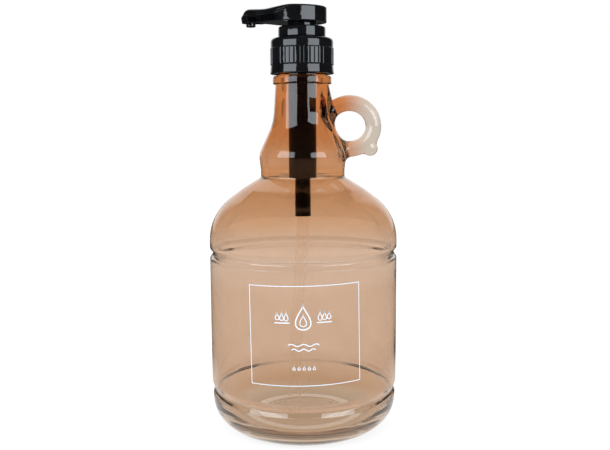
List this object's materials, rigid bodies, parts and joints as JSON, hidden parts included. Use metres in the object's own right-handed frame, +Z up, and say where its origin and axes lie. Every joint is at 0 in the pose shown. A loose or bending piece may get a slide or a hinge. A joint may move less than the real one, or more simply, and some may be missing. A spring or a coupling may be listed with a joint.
{
  "type": "detergent dispenser bottle",
  "caption": "Jug-shaped tinted glass bottle with a finger loop on its neck, closed by a black screw-on lotion pump with a down-turned beak spout.",
  "frame": {"origin": "centre of the base, on the plane that the bottle stands on", "axes": "+Z up along the common axis of bottle, closure and pump, +X towards the finger loop, spout towards -X, print towards -Y"},
  "size_m": [0.085, 0.085, 0.1899],
  "materials": {
    "tinted_glass": "clear glass sprayed on the outside with a translucent amber tint, glossy, fading to clear at the heel and at the outer side of the finger loop",
    "white_print": "thin matt white screen print",
    "black_plastic": "glossy moulded polypropylene",
    "natural_plastic": "translucent natural polyethylene",
    "foam_liner": "matt closed-cell foam",
    "steel": "bright drawn stainless steel"
  },
  "bodies": {
    "bottle": {"glass_bottle": "tinted_glass"},
    "pump_body": {"pump_housing": "black_plastic", "chaplet": "black_plastic", "mouth_gasket": "foam_liner", "dip_tube": "natural_plastic", "ball_cage": "natural_plastic", "return_spring": "steel"},
    "closure": {"screw_closure": "black_plastic"},
    "inlet_ball": {"inlet_ball": "steel"},
    "plunger": {"stem": "black_plastic", "piston_rod": "natural_plastic"},
    "piston": {"piston": "natural_plastic"},
    "head": {"actuator_core": "black_plastic", "actuator_cover": "black_plastic"}
  },
  "joints": [
    {"name": "pump_rise", "type": "slide", "parent": "bottle", "child": "pump_body", "axis": [0, 0, 1], "range_m": [0, 0.0048]},
    {"name": "closure_turn", "type": "hinge", "parent": "pump_body", "child": "closure", "pos_m": [0, 0, 0.168], "axis": [0, 0, 1], "range_deg": [0, 545]},
    {"name": "pump_stroke", "type": "slide", "parent": "pump_body", "child": "plunger", "axis": [0, 0, 1], "range_m": [0, 0.0135], "stiffness_N_per_m": 500, "springref_m": 0.0195, "deforming": ["return_spring"]},
    {"name": "head_turn", "type": "hinge", "parent": "plunger", "child": "head", "pos_m": [0, 0, 0.186], "axis": [0, 0, 1], "continuous": true},
    {"name": "piston_slip", "type": "slide", "parent": "plunger", "child": "piston", "axis": [0, 0, 1], "range_m": [0, 0.0012]},
    {"name": "inlet_ball_lift", "type": "slide", "parent": "pump_body", "child": "inlet_ball", "axis": [0, 0, 1], "range_m": [0, 0.0015]}
  ],
  "couplings": [
    {"joint": "closure_turn", "follows": "pump_rise", "rad_per_m": 1979}
  ]
}
